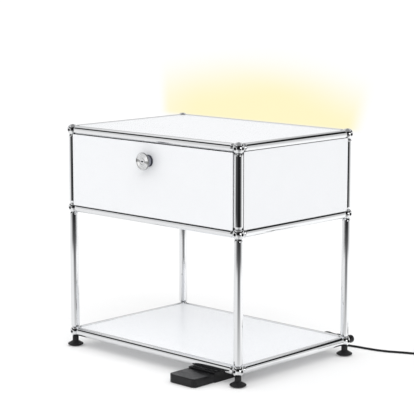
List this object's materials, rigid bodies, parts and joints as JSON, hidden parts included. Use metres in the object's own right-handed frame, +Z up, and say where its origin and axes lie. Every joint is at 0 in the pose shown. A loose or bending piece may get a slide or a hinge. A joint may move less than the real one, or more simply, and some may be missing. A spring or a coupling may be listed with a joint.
{
  "type": "nightstand with light",
  "caption": "Chromed tube-and-ball nightstand with white steel panels, a drop-down door over an open shelf, a lamp in the rear top tube and a foot dimmer on its cord.",
  "frame": {"origin": "on the floor under the middle of the tube frame", "axes": "+X to the right seen from the door, +Y to the back, +Z up"},
  "size_m": [0.7512, 0.6164, 0.505],
  "materials": {
    "chrome": "polished",
    "white_panel": "semi-gloss powder coat",
    "plated_steel": "zinc plated",
    "lock_metal": "die cast",
    "foot_plastic": "moulded",
    "dimmer_plastic": "moulded, fine grain",
    "cord_rubber": "matte",
    "lamp_board": "matte",
    "lamp_light": "gloss",
    "lamp_diffuser": "opal",
    "brass": "plain",
    "circuit": "gloss",
    "switch_plastic": "moulded"
  },
  "bodies": {
    "frame": {"top_front_tube": "chrome", "lamp_tube": "chrome", "top_left_tube": "chrome", "top_right_tube": "chrome", "middle_front_tube": "chrome", "middle_rear_tube": "chrome", "middle_left_tube": "chrome", "middle_right_tube": "chrome", "bottom_front_tube": "chrome", "bottom_rear_tube": "chrome", "bottom_left_tube": "chrome", "bottom_right_tube": "chrome", "upper_posts": "chrome", "lower_posts": "chrome", "ball_connectors": "chrome", "top_panel": "white_panel", "left_panel": "white_panel", "right_panel": "white_panel", "rear_panel": "white_panel", "middle_panel": "white_panel", "bottom_panel": "white_panel", "tube_sleeves": "plated_steel", "connector_screws": "plated_steel", "hinge_stop_pins": "plated_steel", "strike_plate": "plated_steel", "pedal_axle": "plated_steel", "dimmer_base": "dimmer_plastic", "dimmer_housing": "dimmer_plastic", "feed_plug": "dimmer_plastic", "mains_plug": "dimmer_plastic", "light_lead": "cord_rubber", "mains_lead": "cord_rubber", "mains_coil": "cord_rubber", "strain_reliefs": "cord_rubber", "lamp_board": "lamp_board", "conductor_spacers": "lamp_board", "lamp_chips": "lamp_light", "lamp_diffuser": "lamp_diffuser", "feed_conductors": "brass", "plug_pins": "brass", "dimmer_circuit": "circuit", "dimmer_switch": "switch_plastic"},
    "door": {"door_panel": "white_panel", "lock_case": "lock_metal", "knob_collar": "chrome", "hinge_clips": "plated_steel"},
    "knob": {"door_knob": "chrome", "knob_spindle": "plated_steel"},
    "key_plug": {"lock_plug": "chrome"},
    "bolt": {"lock_bolt": "plated_steel"},
    "pedal": {"dimmer_pedal": "dimmer_plastic"},
    "front_left_glide": {"front_left_foot": "foot_plastic", "front_left_stud": "plated_steel"},
    "front_right_glide": {"front_right_foot": "foot_plastic", "front_right_stud": "plated_steel"},
    "rear_left_glide": {"rear_left_foot": "foot_plastic", "rear_left_stud": "plated_steel"},
    "rear_right_glide": {"rear_right_foot": "foot_plastic", "rear_right_stud": "plated_steel"}
  },
  "joints": [
    {"name": "door_hinge", "type": "hinge", "parent": "frame", "child": "door", "pos_m": [0, -0.175, 0.3185], "axis": [1, 0, 0], "range_deg": [0, 90]},
    {"name": "knob_turn", "type": "hinge", "parent": "door", "child": "knob", "pos_m": [0, -0.19, 0.4465], "axis": [0, 1, 0], "range_deg": [0, 90]},
    {"name": "bolt_slide", "type": "slide", "parent": "door", "child": "bolt", "axis": [0, 0, 1], "range_m": [0, 0.008]},
    {"name": "key_turn", "type": "hinge", "parent": "knob", "child": "key_plug", "pos_m": [0, -0.19, 0.4465], "axis": [0, 1, 0], "range_deg": [0, 90]},
    {"name": "pedal_press", "type": "hinge", "parent": "frame", "child": "pedal", "pos_m": [0.159, -0.197, 0.008], "axis": [1, 0, 0], "range_deg": [0, 1], "stiffness_Nm_per_rad": 4, "springref_deg": -3.44},
    {"name": "front_left_level", "type": "slide", "parent": "frame", "child": "front_left_glide", "axis": [0, 0, -1], "range_m": [0, 0.005]},
    {"name": "front_right_level", "type": "slide", "parent": "frame", "child": "front_right_glide", "axis": [0, 0, -1], "range_m": [0, 0.005]},
    {"name": "rear_left_level", "type": "slide", "parent": "frame", "child": "rear_left_glide", "axis": [0, 0, -1], "range_m": [0, 0.005]},
    {"name": "rear_right_level", "type": "slide", "parent": "frame", "child": "rear_right_glide", "axis": [0, 0, -1], "range_m": [0, 0.005]}
  ],
  "couplings": [
    {"joint": "knob_turn", "follows": "bolt_slide", "rad_per_m": 196.35}
  ]
}
